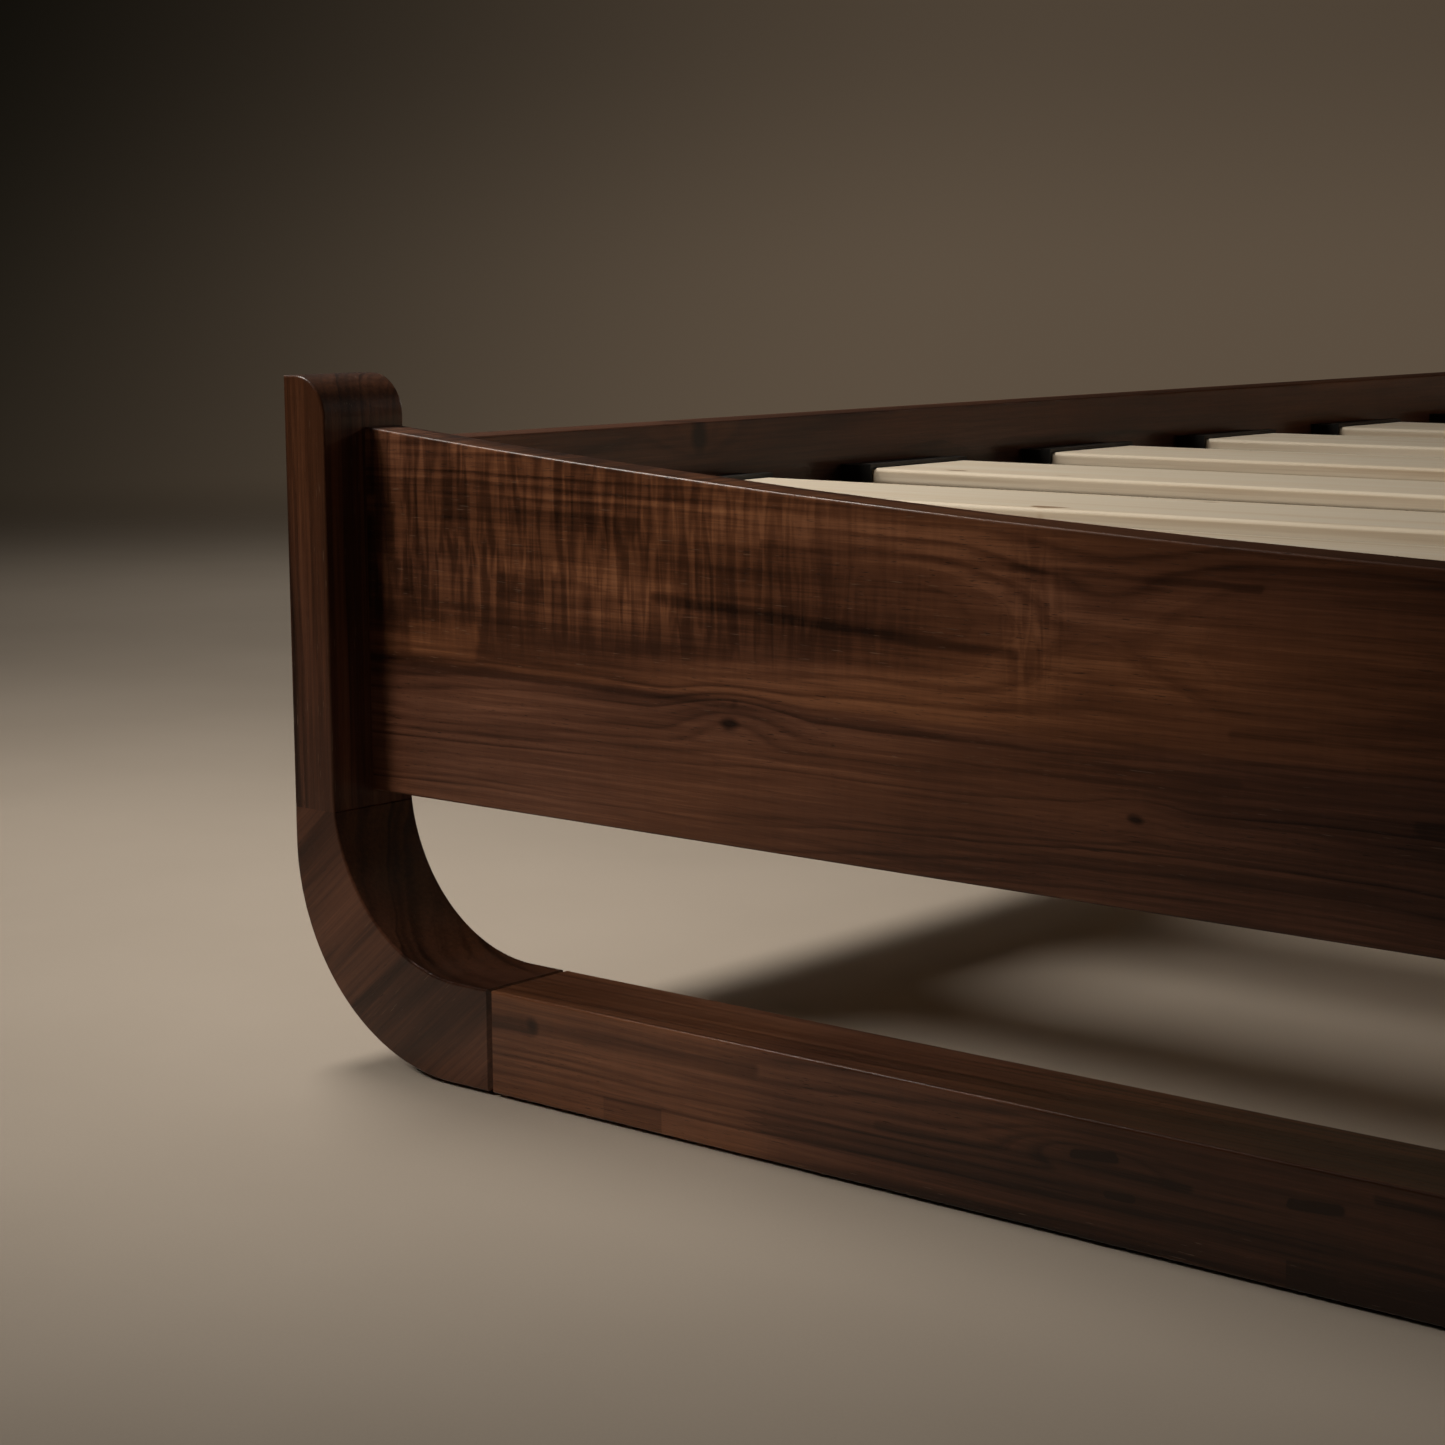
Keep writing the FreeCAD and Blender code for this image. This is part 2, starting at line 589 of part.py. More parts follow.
def make_stirrup():
    """The folded steel saddle on the foot rail that carries the beam's end."""
    plate_y = -RAIL_INNER_Y
    half = BEAM_WIDTH / 2 + FIT_GAP
    wall = half + STEEL_THICKNESS
    low = BEAM_BOTTOM - STEEL_THICKNESS
    plate = block(-STIRRUP_PLATE_WIDTH / 2, STIRRUP_PLATE_WIDTH / 2, plate_y,
                  plate_y + STEEL_THICKNESS, low, SLAT_BOTTOM)
    saddle = block(-wall, wall, plate_y, plate_y + STIRRUP_DEPTH,
                   low, BEAM_BOTTOM + BEAM_HEIGHT / 2)
    inside = block(-half, half, plate_y + STEEL_THICKNESS, plate_y + STIRRUP_DEPTH + SLACK,
                   BEAM_BOTTOM, SLAT_TOP)
    stirrup = plate.fuse(saddle).cut(inside).removeSplitter()
    for x, z in stirrup_screw_places():
        stirrup = stirrup.cut(screw_hole(x, plate_y + STEEL_THICKNESS, z, (0, -1, 0),
                                         stirrup_screw_length()))
    return stirrup.Solids[0]


def stirrup_screw_length():
    """Long enough to hold in the rail and short enough to stay inside it."""
    return STEEL_THICKNESS + RAIL_THICKNESS * 0.7


def stirrup_screws():
    """The four screws of the foot stirrup."""
    return [countersunk_screw(x, -RAIL_INNER_Y + STEEL_THICKNESS, z, (0, -1, 0),
                              stirrup_screw_length())
            for x, z in stirrup_screw_places()]


def stirrup_screw_holes():
    """The holes for those screws."""
    return [screw_hole(x, -RAIL_INNER_Y + STEEL_THICKNESS, z, (0, -1, 0), stirrup_screw_length())
            for x, z in stirrup_screw_places()]


def leg_places():
    """Y of the two centre legs."""
    return (-LEG_SPACING / 2, LEG_SPACING / 2)


def leg_dowel(y, extra_radius=0.0, extra_length=0.0):
    """The dowel between a leg and the beam, or the hole for it."""
    reach = LEG_DOWEL_LENGTH / 2 + extra_length
    return rod(0, y, BEAM_BOTTOM - reach, (0, 0, 1), LEG_DOWEL_RADIUS + extra_radius, 2 * reach)


def make_beam():
    """The beam under the slats, from stirrup to stirrup."""
    end_y = RAIL_INNER_Y - STEEL_THICKNESS - DEPTH_ROOM
    beam = block(-BEAM_WIDTH / 2, BEAM_WIDTH / 2, -end_y, end_y, BEAM_BOTTOM, SLAT_BOTTOM)
    beam = ease_edges(beam, EDGE_RADIUS, along(1))
    return cut_all(beam, [leg_dowel(y, HOLE_GAP, DEPTH_ROOM) for y in leg_places()])


def make_leg(y):
    """A square centre leg, bored for its dowel, insert and levelling foot."""
    half = LEG_WIDTH / 2
    leg = block(-half, half, y - half, y + half, LEG_BOTTOM, BEAM_BOTTOM)
    leg = ease_edges(leg, EDGE_RADIUS, along(2))
    stud_top = FOOT_PAD_HEIGHT + FOOT_STUD_LENGTH
    return cut_all(leg, [
        leg_dowel(y, HOLE_GAP, DEPTH_ROOM),
        rod(0, y, LEG_BOTTOM - SLACK, (0, 0, 1), INSERT_RADIUS, INSERT_LENGTH + SLACK),
        rod(0, y, LEG_BOTTOM, (0, 0, 1), FOOT_STUD_RADIUS + DEPTH_ROOM,
            stud_top + STUD_ROOM - LEG_BOTTOM),
    ])


def make_insert(y):
    """The threaded bush in the leg's lower end."""
    bush = rod(0, y, LEG_BOTTOM, (0, 0, 1), INSERT_RADIUS, INSERT_LENGTH)
    return bush.cut(rod(0, y, LEG_BOTTOM - SLACK, (0, 0, 1), FOOT_STUD_RADIUS + HARDWARE_GAP,
                        INSERT_LENGTH + 2 * SLACK))


def make_levelling_foot(y):
    """A round foot on a stud that screws into the insert."""
    pad = rod(0, y, 0, (0, 0, 1), FOOT_PAD_RADIUS, FOOT_PAD_HEIGHT)
    pad = ease_edges(pad, EDGE_RADIUS, lambda edge: isinstance(edge.Curve, Part.Circle))
    stud = rod(0, y, FOOT_PAD_HEIGHT / 2, (0, 0, 1), FOOT_STUD_RADIUS,
               FOOT_STUD_LENGTH + FOOT_PAD_HEIGHT / 2)
    return pad.fuse(stud).removeSplitter().Solids[0]


# ---------------------------------------------------------------- rails and headboard
def make_board(z_low, z_high, tenon_count, hollow=0.0):
    """A board with eased long edges, ends fitted to the posts and bends, and tenons."""
    def long_edge(edge):
        box = edge.BoundBox
        return box.XLength > 2 * INNER_X and box.YLength < 1e-6
    eased = ease_edges(rough_board(z_low, z_high, hollow), EDGE_RADIUS, long_edge)
    between_posts = block(-INNER_X, INNER_X, -RAIL_OUTER_Y - SLACK, -RAIL_INNER_Y + SLACK,
                          z_low - SLACK, z_high + SLACK)
    fitted = eased.common(between_posts).cut(sled_solid(HEAD_POST_HEIGHT))
    return fitted.fuse(board_tenons(z_low, z_high, tenon_count)).removeSplitter().Solids[0]


def headboard_seams():
    """Heights of the edges of the headboard's boards, from the head rail's top up."""
    lowest_top = HEADBOARD_TOP - HEAD_RAIL_TOP
    step = lowest_top / HEADBOARD_BOARD_COUNT
    return [HEAD_RAIL_TOP + index * step for index in range(HEADBOARD_BOARD_COUNT + 1)]


def spline(z, gap=0.0, room=0.0):
    """The loose tongue at a seam, or with a gap and room the groove for it."""
    y_middle = -RAIL_OUTER_Y + RAIL_THICKNESS / 2
    half_y = SPLINE_THICKNESS / 2 + gap
    half_z = SPLINE_WIDTH / 2 + room
    end_x = INNER_X - SPLINE_END_GAP + room
    return block(-end_x, end_x, y_middle - half_y, y_middle + half_y, z - half_z, z + half_z)


def end_rail_holes():
    """Holes in the inner face of the foot rail: stirrup screws and bracket inserts."""
    into_end_rail = -RAIL_INNER_Y - SLACK
    holes = [hole for hole in rail_insert_holes() if hole.BoundBox.YMin < into_end_rail]
    return stirrup_screw_holes() + holes + [flip_x(hole) for hole in holes]


def make_foot_rail():
    """The wide foot rail with its hollowed top edge."""
    board = make_board(RAIL_BOTTOM, FOOT_RAIL_END_TOP, 2, FOOT_RAIL_HOLLOW)
    return cut_all(board, end_rail_holes())


def make_head_boards():
    """The head rail and the headboard's boards, drawn at the foot end."""
    seams = headboard_seams()
    rail = make_board(RAIL_BOTTOM, HEAD_RAIL_TOP, 2)
    boards = [cut_all(rail, end_rail_holes() + [spline(seams[0], FIT_GAP, DEPTH_ROOM)])]
    for low, high in zip(seams, seams[1:]):
        hollow = FOOT_RAIL_HOLLOW if high == seams[-1] else 0.0
        grooves = [spline(z, FIT_GAP, DEPTH_ROOM) for z in (low, high) if z != seams[-1]]
        boards.append(cut_all(make_board(low, high, 1, hollow), grooves))
    return boards


# ---------------------------------------------------------------- the whole bed
foot_boards = [(RAIL_BOTTOM, FOOT_RAIL_END_TOP, 2)]
for name, shape in make_sled(FOOT_POST_HEIGHT, foot_boards).items():
    pieces["foot_" + name] = shape
pieces["foot_rail"] = make_foot_rail()

seam_heights = headboard_seams()
head_boards = [(RAIL_BOTTOM, HEAD_RAIL_TOP, 2)]
head_boards += [(low, high, 1) for low, high in zip(seam_heights, seam_heights[1:])]
for name, shape in make_sled(HEAD_POST_HEIGHT, head_boards).items():
    pieces["head_" + name] = flip_y(shape)
for number, shape in enumerate(make_head_boards()):
    name = "headboard_board_%d" % number if number else "head_rail"
    pieces[name] = flip_y(shape)
pieces["headboard_splines"] = Part.makeCompound([flip_y(spline(z)) for z in seam_heights[:-1]])

pieces["side_rail_left"] = make_side_rail()
pieces["side_rail_right"] = flip_x(make_side_rail())
pieces["ledger_left"] = make_ledger()
pieces["ledger_right"] = flip_x(make_ledger())
pieces["ledger_screws"] = Part.makeCompound(
    ledger_screws() + [flip_x(screw) for screw in ledger_screws()])

pieces["corner_brackets"] = Part.makeCompound(at_four_corners(make_corner_bracket()))
pieces["bracket_bolts"] = Part.makeCompound(
    [copy for bolt in bracket_bolts() for copy in at_four_corners(bolt)])
pieces["rail_inserts"] = Part.makeCompound(
    [copy for insert in rail_inserts() for copy in at_four_corners(insert)])

for number, slat_y in enumerate(slat_places(), start=1):
    pieces["slat_%02d" % number] = make_slat(slat_y)
holders = [make_holder(slat_y) for slat_y in slat_places()]
pieces["slat_holders_left"] = Part.makeCompound(holders)
pieces["slat_holders_right"] = Part.makeCompound([flip_x(holder) for holder in holders])

pieces["centre_beam"] = make_beam()
pieces["beam_stirrup_foot"] = make_stirrup()
pieces["beam_stirrup_head"] = flip_y(make_stirrup())
pieces["stirrup_screws"] = Part.makeCompound(
    stirrup_screws() + [flip_y(screw) for screw in stirrup_screws()])
pieces["leg_dowels"] = Part.makeCompound([leg_dowel(y) for y in leg_places()])
pieces["leg_inserts"] = Part.makeCompound([make_insert(y) for y in leg_places()])
for place, leg_y in zip(("front", "rear"), leg_places()):
    pieces["centre_leg_" + place] = make_leg(leg_y)
    pieces["levelling_foot_" + place] = make_levelling_foot(leg_y)

os.makedirs("parts", exist_ok=True)
for name, shape in pieces.items():
    shape.exportStep("parts/%s.step" % name)
print(len(pieces), "nodes")
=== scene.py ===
import math

import bmesh
import bpy
from mathutils import Matrix, Vector


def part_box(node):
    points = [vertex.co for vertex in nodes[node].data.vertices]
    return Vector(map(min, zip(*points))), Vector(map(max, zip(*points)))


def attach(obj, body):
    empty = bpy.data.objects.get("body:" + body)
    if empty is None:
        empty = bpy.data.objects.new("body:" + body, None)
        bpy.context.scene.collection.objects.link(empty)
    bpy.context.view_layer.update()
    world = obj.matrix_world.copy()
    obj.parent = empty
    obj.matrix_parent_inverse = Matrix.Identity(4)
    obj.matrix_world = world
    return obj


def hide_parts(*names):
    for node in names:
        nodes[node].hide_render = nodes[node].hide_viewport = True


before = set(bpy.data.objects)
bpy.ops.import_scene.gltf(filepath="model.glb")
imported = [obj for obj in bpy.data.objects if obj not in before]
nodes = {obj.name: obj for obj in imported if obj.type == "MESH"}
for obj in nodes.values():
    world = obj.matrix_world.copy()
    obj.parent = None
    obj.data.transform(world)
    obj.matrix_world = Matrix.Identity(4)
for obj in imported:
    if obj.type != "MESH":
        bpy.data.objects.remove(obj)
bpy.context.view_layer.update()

# Finishes, levelling feet and studio for the sleigh bed.
# +X is the bed's right, +Y its head and +Z up. Lengths are in metres.


# ------------------------------------------------------------------ node helpers
def feed(tree, socket, value):
    """Link a socket to another one, or set its plain value."""
    if isinstance(value, bpy.types.NodeSocket):
        tree.links.new(value, socket)
    else:
        socket.default_value = value


def add(tree, kind, inputs=None, **fields):
    """One shader node, with its fields set and its sockets fed."""
    made = tree.nodes.new("ShaderNode" + kind)
    for field, value in fields.items():
        setattr(made, field, value)
    for name, value in (inputs or {}).items():
        feed(tree, made.inputs[name], value)
    return made


def calc(tree, operation, *values, clamp=False):
    """A number worked out from numbers."""
    made = add(tree, "Math", operation=operation, use_clamp=clamp)
    for socket, value in zip(made.inputs, values):
        feed(tree, socket, value)
    return made.outputs[0]


def total(tree, *values):
    """The sum of some numbers."""
    result = values[0]
    for value in values[1:]:
        result = calc(tree, "ADD", result, value)
    return result


def times(tree, *values):
    """The product of some numbers."""
    result = values[0]
    for value in values[1:]:
        result = calc(tree, "MULTIPLY", result, value)
    return result


def minus(tree, first, second):
    """The first number less the second."""
    return calc(tree, "SUBTRACT", first, second)


def centred(tree, noise):
    """Noise that swings about 0 in place of about a half."""
    return minus(tree, noise, 0.5)


def vector(tree, operation, *values):
    """A vector, a length or a dot product worked out from vectors."""
    made = add(tree, "VectorMath", operation=operation)
    for socket, value in zip(made.inputs, values):
        feed(tree, socket, value)
    return made.outputs["Value" if operation in ("LENGTH", "DOT_PRODUCT") else "Vector"]


def split(tree, place):
    """A vector's X, Y and Z."""
    return add(tree, "SeparateXYZ", {"Vector": place}).outputs


def joined(tree, x, y, z):
    """A vector from its X, Y and Z."""
    return add(tree, "CombineXYZ", {"X": x, "Y": y, "Z": z}).outputs[0]


def cloud(tree, place, per_metre, detail=2.0, roughness=0.5, distortion=0.0, colour=False):
    """Noise of about a half, with so many waves to the metre along X, Y and Z."""
    made = add(tree, "TexNoise", {
        "Vector": vector(tree, "MULTIPLY", place, per_metre), "Scale": 1.0, "Detail": detail,
        "Roughness": roughness, "Distortion": distortion})
    return made.outputs["Color" if colour else "Fac"]


def chance(tree, number):
    """A random value from 0 to 1 for each different number."""
    return add(tree, "TexWhiteNoise", {"W": number}, noise_dimensions="1D").outputs["Value"]


def fade(tree, value, low, high, to_low=0.0, to_high=1.0):
    """A soft step: to_low below low, to_high above high."""
    made = add(tree, "MapRange", {
        "Value": value, "From Min": low, "From Max": high, "To Min": to_low, "To Max": to_high},
        interpolation_type="SMOOTHSTEP")
    return made.outputs[0]


def fade_out(tree, value, low, high):
    """A soft step down: 1 below low, 0 above high."""
    return fade(tree, value, low, high, 1.0, 0.0)


def ramp(tree, value, stops):
    """Colours, or greys, along a value from 0 to 1."""
    made = add(tree, "ValToRGB", {"Fac": value})
    elements = made.color_ramp.elements
    while len(elements) < len(stops):
        elements.new(0.5)
    for element, (position, colour) in zip(elements, stops):
        element.position = position
        element.color = (*colour, 1.0) if isinstance(colour, tuple) else (colour,) * 3 + (1.0,)
    return made.outputs["Color"]


def mixed(tree, amount, first, second):
    """Two colours mixed by an amount from 0 to 1."""
    made = add(tree, "Mix", data_type="RGBA")
    feed(tree, made.inputs[0], amount)
    for socket, colour in ((made.inputs[6], first), (made.inputs[7], second)):
        feed(tree, socket, (*colour, 1.0) if isinstance(colour, tuple) else colour)
    return made.outputs[2]


def new_group(name, inputs, outputs):
    """A node group with named sockets; gives the tree, its inputs and its outputs."""
    tree = bpy.data.node_groups.new(name, "ShaderNodeTree")
    for label, kind, value in inputs:
        socket = tree.interface.new_socket(label, in_out="INPUT", socket_type="NodeSocket" + kind)
        if value is not None:
            socket.default_value = value
    for label, kind in outputs:
        tree.interface.new_socket(label, in_out="OUTPUT", socket_type="NodeSocket" + kind)
    given = tree.nodes.new("NodeGroupInput").outputs
    result = tree.nodes.new("NodeGroupOutput").inputs
    return tree, given, result


def use(tree, group, **inputs):
    """A group placed in a tree; underscores in input names stand for spaces."""
    made = add(tree, "Group")
    made.node_tree = group
    for name, value in inputs.items():
        feed(tree, made.inputs[name.replace("_", " ")], value)
    return made.outputs


# ------------------------------------------------------------------ shared effects
SEED_SHIFTS = (1.73, 0.61, 0.37)    # how far one step of Seed moves the pattern
HALVES = (0.5, 0.5, 0.5)
BASE_TONE = 0.65                    # walnut's brightness before its rings, streaks and shade
WARM_WALNUT = [
    (0.0, (0.015, 0.0058, 0.0028)), (0.3, (0.062, 0.0225, 0.01)), (0.55, (0.138, 0.052, 0.0225)),
    (0.78, (0.25, 0.102, 0.045)), (1.0, (0.4, 0.19, 0.085))]
COOL_WALNUT = [
    (0.0, (0.016, 0.0065, 0.004)), (0.3, (0.055, 0.0215, 0.012)), (0.55, (0.112, 0.045, 0.025)),
    (0.78, (0.19, 0.082, 0.047)), (1.0, (0.3, 0.143, 0.085))]
PORE_COLOUR = (0.010, 0.005, 0.003)
SPECK_COLOUR = (0.24, 0.17, 0.12)
ONE_RING = [                        # pale early wood, then dark late wood, over one ring
    (0.0, 0.5), (0.14, 0.02), (0.5, 0.12), (0.88, 1.0), (1.0, 0.5)]


def make_walnut_group():
    """Walnut. Place runs X along the grain, Y across the board's face and Z into the board."""
    tree, given, result = new_group("walnut grain", [
        ("Place", "Vector", None), ("Seed", "Float", 0.0), ("Heart Height", "Float", 0.05),
        ("Heart Depth", "Float", 0.07), ("Ring Width", "Float", 0.0042), ("Swell", "Float", 0.0),
        ("Waves", "Float", 1.0), ("Curl", "Float", 0.04), ("Gold", "Float", 0.5),
        ("Shade", "Float", 0.0)],
        [("Color", "Color"), ("Roughness", "Float"), ("Height", "Float")])
    offset = joined(tree, *(times(tree, given["Seed"], shift) for shift in SEED_SHIFTS))
    sample = vector(tree, "ADD", given["Place"], offset)

    def drift(per_metre, reach, detail):
        """A wander across and into the board, up to about half of reach."""
        noise = cloud(tree, sample, per_metre, detail, colour=True)
        wander = vector(tree, "SUBTRACT", noise, HALVES)
        wander = vector(tree, "MULTIPLY", wander, (0.0, reach, reach))
        waves = joined(tree, given["Waves"], given["Waves"], given["Waves"])
        return vector(tree, "MULTIPLY", wander, waves)

    # Rings are distances from the tree's heart, a line along the board.
    wandered = vector(tree, "ADD", given["Place"], drift((1.6, 7, 7), 0.035, 1.5))
    wandered = vector(tree, "ADD", wandered, drift((9, 55, 55), 0.0035, 2.0))
    along, across, deep = split(tree, wandered)
    across = minus(tree, across, given["Heart Height"])
    deep = minus(tree, deep, given["Heart Depth"])
    radius = calc(tree, "SQRT", total(tree, times(tree, across, across), times(tree, deep, deep)))
    radius = total(tree, radius, given["Swell"])
    uneven = cloud(tree, joined(tree, radius, 0.0, given["Seed"]), (60, 1, 1), 2.0)
    rings = total(tree, calc(tree, "DIVIDE", radius, given["Ring Width"]), times(tree, uneven, 2.2))
    ring_strength = chance(tree, total(tree, calc(tree, "FLOOR", rings), given["Seed"]))
    patchy = cloud(tree, sample, (4, 22, 22), 2.0)
    late = times(tree, ramp(tree, calc(tree, "FRACT", rings), ONE_RING),
                 fade(tree, ring_strength, 0.1, 1.0, 0.2, 1.1),
                 fade(tree, patchy, 0.3, 0.7, 0.25, 1.15))

    streak = cloud(tree, joined(tree, total(tree, along, given["Seed"]), radius, 0.0),
                   (1.1, 42, 1), 3.0, 0.6)
    streak = fade(tree, streak, 0.48, 0.7)
    blotch = cloud(tree, sample, (4, 15, 15), 3.0)
    fibre = cloud(tree, sample, (11, 430, 430), 3.0, 0.65)
    fine = cloud(tree, sample, (40, 1500, 1500), 2.0)
    curl = cloud(tree, vector(tree, "ADD", sample, drift((14, 24, 24), 0.03, 1.0)),
                 (230, 26, 26), 1.5, 0.5, 0.6)
    curl = times(tree, fade(tree, curl, 0.3, 0.7, -1.0, 1.0), given["Curl"])
    value = total(
        tree, BASE_TONE,
        times(tree, centred(tree, blotch), 0.7),
        times(tree, late, -0.34),
        times(tree, streak, -0.3),
        times(tree, centred(tree, fibre), 0.5),
        times(tree, centred(tree, fine), 0.22),
        times(tree, curl, 0.2),
        given["Shade"])
    patches_of_gold = times(tree, centred(tree, cloud(tree, sample, (3, 12, 12), 2.0)), 1.6)
    gold = fade(tree, total(tree, given["Gold"], patches_of_gold), 0.15, 0.85)
    colour = mixed(tree, gold, ramp(tree, value, COOL_WALNUT), ramp(tree, value, WARM_WALNUT))

    # Open pores are dark dashes along the grain, and specks are pale ones.
    pore_place = vector(tree, "ADD", sample, drift((9, 55, 55), 0.0035, 1.0))
    pores = times(tree, fade(tree, cloud(tree, pore_place, (140, 2100, 2100), 1.0), 0.66, 0.76),
                  fade(tree, patchy, 0.35, 0.65, 0.25, 1.0))
    colour = mixed(tree, times(tree, pores, 0.8), colour, PORE_COLOUR)
    speck_place = vector(tree, "ADD", pore_place, (3.1, 0.7, 0.2))
    specks = times(tree, fade(tree, cloud(tree, speck_place, (95, 1500, 1500), 1.0), 0.7, 0.78),
                   fade(tree, streak, 0.0, 0.6, 0.12, 0.7))
    colour = mixed(tree, times(tree, specks, 0.5), colour, SPECK_COLOUR)

    feed(tree, result["Color"], colour)
    feed(tree, result["Roughness"], total(tree, 0.4, times(tree, centred(tree, fibre), 0.16),
                                          times(tree, curl, -0.03), times(tree, pores, 0.2)))
    feed(tree, result["Height"], total(tree, minus(tree, times(tree, fibre, 0.35), pores),
                                       times(tree, curl, 0.5)))
    return tree


def make_stroke_group():
    """A soft line between two points: 1 along its middle, 0 at Width from it."""
    tree, given, result = new_group("grain stroke", [
        ("Place", "Vector", None), ("Start", "Vector", None), ("End", "Vector", None),
        ("Width", "Float", 0.01), ("Softness", "Float", 0.5)], [("Mask", "Float")])
    run = vector(tree, "SUBTRACT", given["End"], given["Start"])
    reach = vector(tree, "SUBTRACT", given["Place"], given["Start"])
    share = calc(tree, "DIVIDE", vector(tree, "DOT_PRODUCT", reach, run),
                 vector(tree, "DOT_PRODUCT", run, run), clamp=True)
    nearest = add(tree, "VectorMath", {0: run, "Scale": share}, operation="SCALE").outputs[0]
    gap = vector(tree, "LENGTH", vector(tree, "SUBTRACT", reach, nearest))
    inner = times(tree, given["Width"], minus(tree, 1.0, given["Softness"]))
    feed(tree, result["Mask"], fade_out(tree, gap, inner, given["Width"]))
    return tree


walnut_grain = make_walnut_group()
grain_stroke = make_stroke_group()


# ------------------------------------------------------------------ walnut
COAT_WEIGHT = 0.3
COAT_ROUGHNESS = 0.17
WOOD_SPECULAR = 0.25
PORE_DEPTH = 0.00035
LINE_SOFTNESS = 0.8                 # share of a grain line's width that is soft


def new_material(name, tone):
    """A material with a Principled shader; tone is its plain display colour."""
    material = bpy.data.materials.new(name)
    material.use_nodes = True
    material.diffuse_color = (*tone, 1.0)
    tree = material.node_tree
    shader = tree.nodes["Principled BSDF"]
    place = add(tree, "TexCoord").outputs["Object"]
    return material, tree, shader, place


def rough_surface(tree, shader, height, strength, depth):
    """Small relief from a height."""
    bump = add(tree, "Bump", {"Height": height, "Strength": strength, "Distance": depth})
    feed(tree, shader.inputs["Normal"], bump.outputs[0])


def grain_place(tree, place, order, turn=0.0):
    """Place with the grain first: order names the axes that run along, across and into the wood."""
    if turn:
        turned_place = add(tree, "VectorRotate", {"Vector": place, "Angle": turn},
                           rotation_type="Y_AXIS")
        place = turned_place.outputs[0]
    axes = dict(zip("xyz", split(tree, place)))
    return joined(tree, *(axes[name] for name in order))


def walnut(name, order, seed, turn=0.0, marks=None, **values):
    """Walnut under satin lacquer; marks gives the board's own knots, stains and figure, and on some
    boards painted light and shade.
    """
    material, tree, shader, place = new_material(name, (0.12, 0.055, 0.028))
    board = grain_place(tree, place, order, turn)
    if marks:
        values.update(marks(tree, board))
    grain = use(tree, walnut_grain, Place=board, Seed=seed, **values)
    feed(tree, shader.inputs["Base Color"], grain["Color"])
    feed(tree, shader.inputs["Roughness"], grain["Roughness"])
    shader.inputs["Coat Weight"].default_value = COAT_WEIGHT
    shader.inputs["Coat Roughness"].default_value = COAT_ROUGHNESS
    shader.inputs["Specular IOR Level"].default_value = WOOD_SPECULAR
    rough_surface(tree, shader, grain["Height"], 0.5, PORE_DEPTH)
    return material


def wear(node_names, material):
    """Give a material to CAD nodes, whose names are parted by spaces."""
    for name in node_names.split():
        slots = nodes[name].material_slots
        if slots:
            for slot in slots:
                slot.material = material
        else:
            nodes[name].data.materials.append(material)


def spot(tree, board, centre, reach):
    """1 at a point of the board's face, fading to 0 at its reach along and across the grain."""
    away = vector(tree, "SUBTRACT", board, (*centre, 0.0))
    scaled = vector(tree, "MULTIPLY", away, (1.0 / reach[0], 1.0 / reach[1], 0.0))
    return fade_out(tree, vector(tree, "LENGTH", scaled), 0.0, 1.0)


def spots(tree, board, places):
    """The sum of spots, each with its centre, its reach and its strength."""
    return total(tree, *(times(tree, spot(tree, board, centre, reach), strength)
                         for centre, reach, strength in places))


def stroke(tree, face, start, end, width, strength):
    """A grain line on the board's face."""
    mask = use(tree, grain_stroke, Place=face, Start=(*start, 0.0), End=(*end, 0.0), Width=width,
               Softness=LINE_SOFTNESS)["Mask"]
    return times(tree, mask, strength)


def strokes(tree, face, lines):
    """The sum of grain lines, each with its start, end, width and strength."""
    return total(tree, *(stroke(tree, face, *line) for line in lines))


def face_of(tree, board, ruffle=0.004):
    """The place on the board's face, ruffled so that lines drawn on it waver."""
    noise = cloud(tree, board, (28, 60, 60), 3.0, colour=True)
    wander = vector(tree, "SUBTRACT", noise, HALVES)
    wander = vector(tree, "MULTIPLY", wander, (ruffle * 3, ruffle, 0.0))
    return vector(tree, "ADD", vector(tree, "MULTIPLY", board, (1.0, 1.0, 0.0)), wander)


# Marks are placed along the grain from the bed's middle and up from the floor.
RAIL_LINES = [
    ((-0.78, 0.196), (-0.55, 0.194), 0.003, 0.5),
    ((-0.55, 0.194), (-0.30, 0.186), 0.003, 0.4),
    ((-0.772, 0.271), (-0.608, 0.269), 0.007, 0.5),
    ((-0.595, 0.238), (-0.4, 0.227), 0.0035, 0.8),
    ((-0.531, 0.265), (-0.29, 0.261), 0.0025, 0.7),
    ((-0.3, 0.205), (-0.12, 0.222), 0.004, 0.4),
    ((-0.22, 0.178), (0.02, 0.186), 0.004, 0.4)]
RAIL_KNOTS = [
    ((-0.551, 0.185), (0.008, 0.0045), 1.0),
    ((-0.342, 0.167), (0.005, 0.003), 1.0)]
RAIL_SWELLS = [                     # where the rings bulge: round the flame and both knots
    ((-0.365, 0.243), (0.09, 0.06), 0.008),
    ((-0.551, 0.187), (0.05, 0.022), 0.006),
    ((-0.342, 0.168), (0.03, 0.016), 0.004)]
RUNNER_LINES = [
    ((-0.677, 0.038), (-0.65, 0.038), 0.006, 0.9),
    ((-0.65, 0.039), (-0.517, 0.041), 0.0045, 0.6),
    ((-0.352, 0.036), (-0.333, 0.0375), 0.003, 1.0),
    ((-0.255, 0.0355), (-0.236, 0.0375), 0.003, 1.0),
    ((-0.336, 0.0225), (-0.325, 0.023), 0.002, 1.0),
    ((-0.22, 0.044), (0.1, 0.041), 0.003, 0.5),
    ((-0.45, 0.029), (-0.3, 0.032), 0.003, 0.4)]
